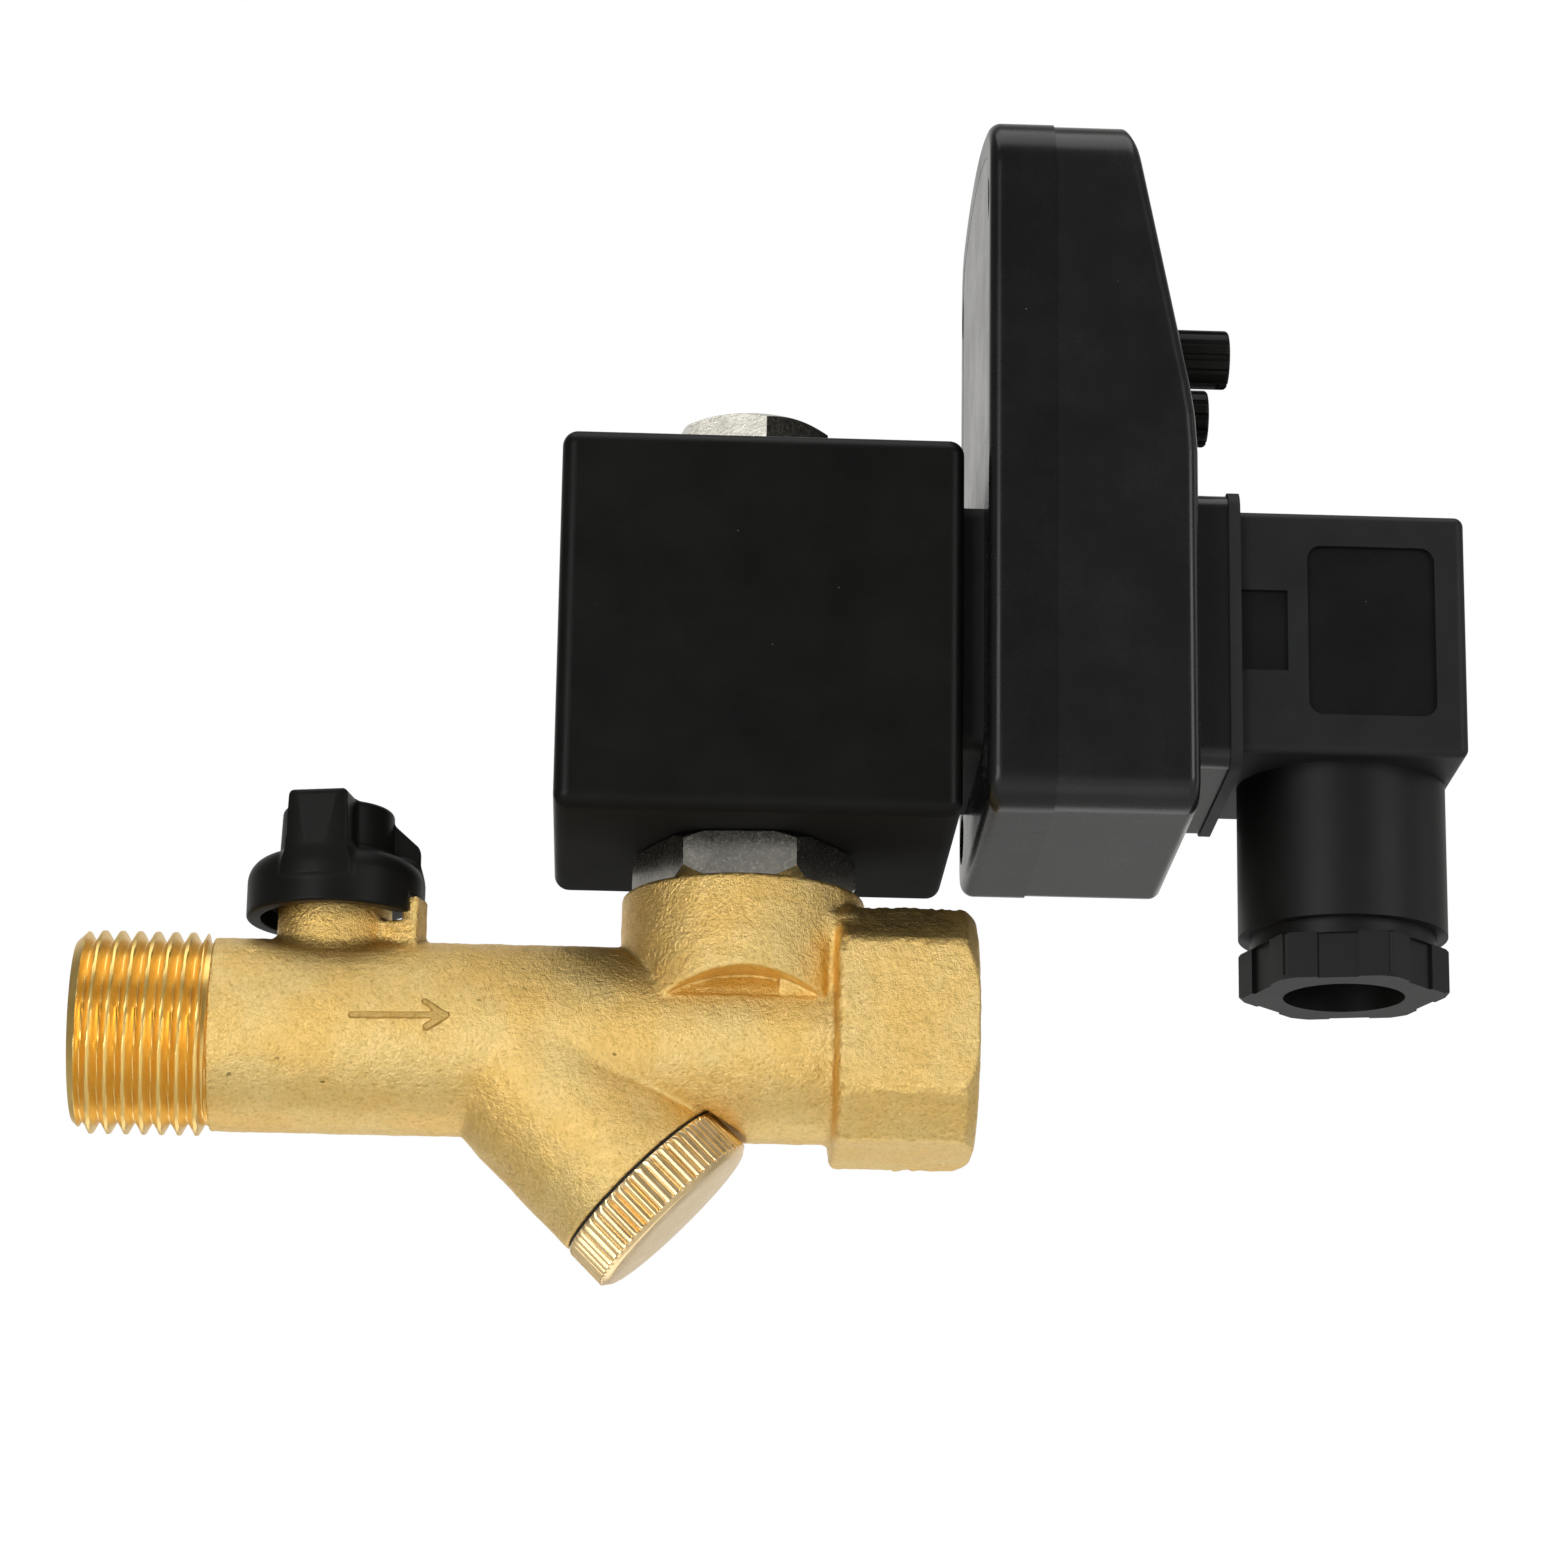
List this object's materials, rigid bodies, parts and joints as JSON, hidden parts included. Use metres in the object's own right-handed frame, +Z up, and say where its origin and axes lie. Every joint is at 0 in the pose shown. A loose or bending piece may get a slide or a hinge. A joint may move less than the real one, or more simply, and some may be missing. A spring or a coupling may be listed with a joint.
{
  "type": "automatic drain valve",
  "caption": "Timed condensate drain: forged brass body with shut-off ball valve and Y-strainer, solenoid coil, plug-on timer and cable connector, half-inch pipe threads.",
  "frame": {"origin": "centre of the inlet end face, on the axis of the male inlet thread", "axes": "+X along the flow from inlet to outlet, +Z up along the solenoid axis, +Y towards the rear"},
  "size_m": [0.1427, 0.0414, 0.1245],
  "materials": {
    "forged_brass": "sand-blasted forging, satin",
    "turned_brass": "turned and knurled, bright",
    "chromed_ball": "polished",
    "ptfe": "white PTFE",
    "rubber_black": "black nitrile rubber",
    "handle_black": "matt moulded nylon",
    "zinc_screw": "bright zinc plate",
    "stainless": "magnetic stainless steel",
    "mesh_stainless": "perforated stainless sheet",
    "nickel": "nickel plate, satin",
    "copper": "bare copper",
    "copper_wire": "enamelled copper wire",
    "yoke_steel": "zinc-plated steel strip",
    "coil_black": "satin moulded thermoset",
    "timer_black": "glossy moulded ABS",
    "connector_black": "fine matt moulded nylon",
    "insert_grey": "grey moulded insert",
    "board_green": "glass-epoxy board",
    "relay_blue": "moulded case",
    "lamp_red": "tinted clear epoxy",
    "button_red": "moulded"
  },
  "bodies": {
    "valve": {"valve_body": "forged_brass", "seat_retainer": "turned_brass", "ball_seats": "ptfe", "armature_tube": "nickel", "tube_o_ring": "rubber_black", "fixed_core": "stainless", "shading_ring": "copper", "plunger_spring": "stainless", "nut_washer": "nickel", "coil_nut": "nickel"},
    "shutoff": {"valve_handle": "handle_black", "handle_screw": "zinc_screw", "ball_stem": "turned_brass", "stem_o_rings": "rubber_black", "ball": "chromed_ball"},
    "armature": {"plunger": "stainless", "plunger_seal": "rubber_black"},
    "strainer": {"strainer_screen": "mesh_stainless", "strainer_cap_seal": "rubber_black"},
    "strainer_plug": {"strainer_cap": "turned_brass"},
    "coil_head": {"coil_housing": "coil_black", "coil_yoke": "yoke_steel", "coil_bobbin": "ptfe", "coil_winding": "copper_wire", "coil_terminals": "nickel", "coil_gasket": "rubber_black", "timer_rear_housing": "timer_black", "rear_plate": "timer_black", "timer_front_housing": "timer_black", "timer_circuit_board": "board_green", "timer_relay": "relay_blue", "timer_capacitor": "relay_blue", "timer_potentiometers": "relay_blue", "button_switch": "insert_grey", "indicator_lamps": "lamp_red", "timer_case_screws": "zinc_screw", "timer_coil_sockets": "nickel", "timer_terminals": "nickel", "connector_gasket": "rubber_black", "connector_housing": "connector_black", "terminal_block": "insert_grey", "connector_contacts": "nickel", "connector_screw": "zinc_screw", "gland_nut": "connector_black", "gland_washer": "nickel", "gland_grommet": "rubber_black"},
    "time_on_dial": {"time_on_knob": "handle_black"},
    "time_off_dial": {"time_off_knob": "handle_black"},
    "test_key": {"test_button": "button_red"}
  },
  "joints": [
    {"name": "shutoff_handle", "type": "hinge", "parent": "valve", "child": "shutoff", "pos_m": [0.0261, 0, 0], "axis": [0, 0, 1], "range_deg": [-90, 0]},
    {"name": "plunger_lift", "type": "slide", "parent": "valve", "child": "armature", "axis": [0, 0, 1], "range_m": [0, 0.0029], "stiffness_N_per_m": 800, "springref_m": -0.0005, "deforming": ["plunger_spring"]},
    {"name": "strainer_travel", "type": "slide", "parent": "valve", "child": "strainer", "axis": [0.7071, 0, -0.7071], "range_m": [0, 0.006]},
    {"name": "strainer_cap_turn", "type": "hinge", "parent": "strainer", "child": "strainer_plug", "pos_m": [0.044, 0, 0], "axis": [0.7071, 0, -0.7071], "range_deg": [0, 1440]},
    {"name": "coil_swivel", "type": "hinge", "parent": "valve", "child": "coil_head", "pos_m": [0.0685, 0, 0], "axis": [0, 0, 1], "range_deg": [-120, 120]},
    {"name": "time_on_turn", "type": "hinge", "parent": "coil_head", "child": "time_on_dial", "pos_m": [0.115, -0.009, 0.0738], "axis": [1, 0, 0], "range_deg": [-135, 135]},
    {"name": "time_off_turn", "type": "hinge", "parent": "coil_head", "child": "time_off_dial", "pos_m": [0.115, 0.009, 0.0738], "axis": [1, 0, 0], "range_deg": [-135, 135]},
    {"name": "test_press", "type": "slide", "parent": "coil_head", "child": "test_key", "axis": [-1, 0, 0], "range_m": [0, 0.0005], "stiffness_N_per_m": 500}
  ],
  "couplings": [
    {"joint": "strainer_cap_turn", "follows": "strainer_travel", "rad_per_m": 4188.8}
  ]
}
